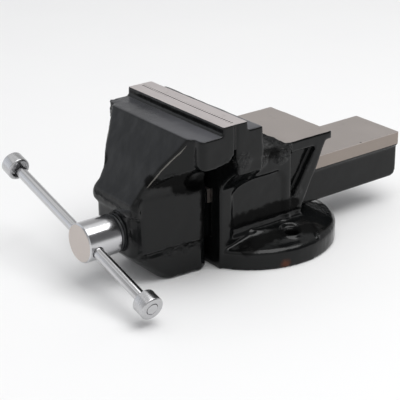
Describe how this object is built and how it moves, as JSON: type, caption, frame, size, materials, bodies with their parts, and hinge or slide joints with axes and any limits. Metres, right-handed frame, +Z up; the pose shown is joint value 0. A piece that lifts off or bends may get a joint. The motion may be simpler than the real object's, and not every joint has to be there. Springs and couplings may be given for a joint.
{
  "type": "bench vise",
  "caption": "Cast bench vise with a round fixed base, rear anvil, flat-topped slide, steel-faced jaws and a sliding handle bar through the spindle head.",
  "frame": {"origin": "centre of the round base flange, on the bench plane", "axes": "+Z up, +Y from the handle towards the anvil, +X to the right when standing at the handle"},
  "size_m": [0.201, 0.3168, 0.1295],
  "materials": {
    "black_paint": "thick glossy black enamel over a rough casting",
    "ground_steel": "ground",
    "polished_steel": "polished bright steel",
    "turned_steel": "turned satin steel",
    "zinc_steel": "zinc plated",
    "dark_screw_steel": "blackened steel",
    "cast_iron": "bare casting",
    "spring_steel": "drawn wire"
  },
  "bodies": {
    "base": {"fixed_body": "black_paint", "fixed_jaw_plate": "ground_steel", "fixed_plate_screw_left": "dark_screw_steel", "fixed_plate_screw_right": "dark_screw_steel", "spindle_nut": "cast_iron", "nut_bolt": "zinc_steel", "nut_bolt_washer": "zinc_steel"},
    "sliding_jaw": {"moving_jaw": "black_paint", "moving_jaw_plate": "ground_steel", "moving_plate_screw_left": "dark_screw_steel", "moving_plate_screw_right": "dark_screw_steel", "thrust_washer": "zinc_steel", "retaining_spring": "spring_steel", "spring_washer": "zinc_steel"},
    "screw": {"spindle": "polished_steel", "split_pin": "zinc_steel"},
    "handle": {"handle_bar": "polished_steel", "handle_cap_left": "turned_steel", "handle_cap_right": "turned_steel"}
  },
  "joints": [
    {"name": "jaw_slide", "type": "slide", "parent": "base", "child": "sliding_jaw", "axis": [0, -1, 0], "range_m": [0, 0.125]},
    {"name": "spindle_turn", "type": "hinge", "parent": "sliding_jaw", "child": "screw", "pos_m": [0, -0.1382, 0.039], "axis": [0, -1, 0], "range_deg": [0, 7500]},
    {"name": "bar_slide", "type": "slide", "parent": "screw", "child": "handle", "axis": [0.9632, 0, -0.2689], "range_m": [-0.059, 0.086]}
  ],
  "couplings": [
    {"joint": "jaw_slide", "follows": "spindle_turn", "m_per_rad": 0.00095492}
  ]
}
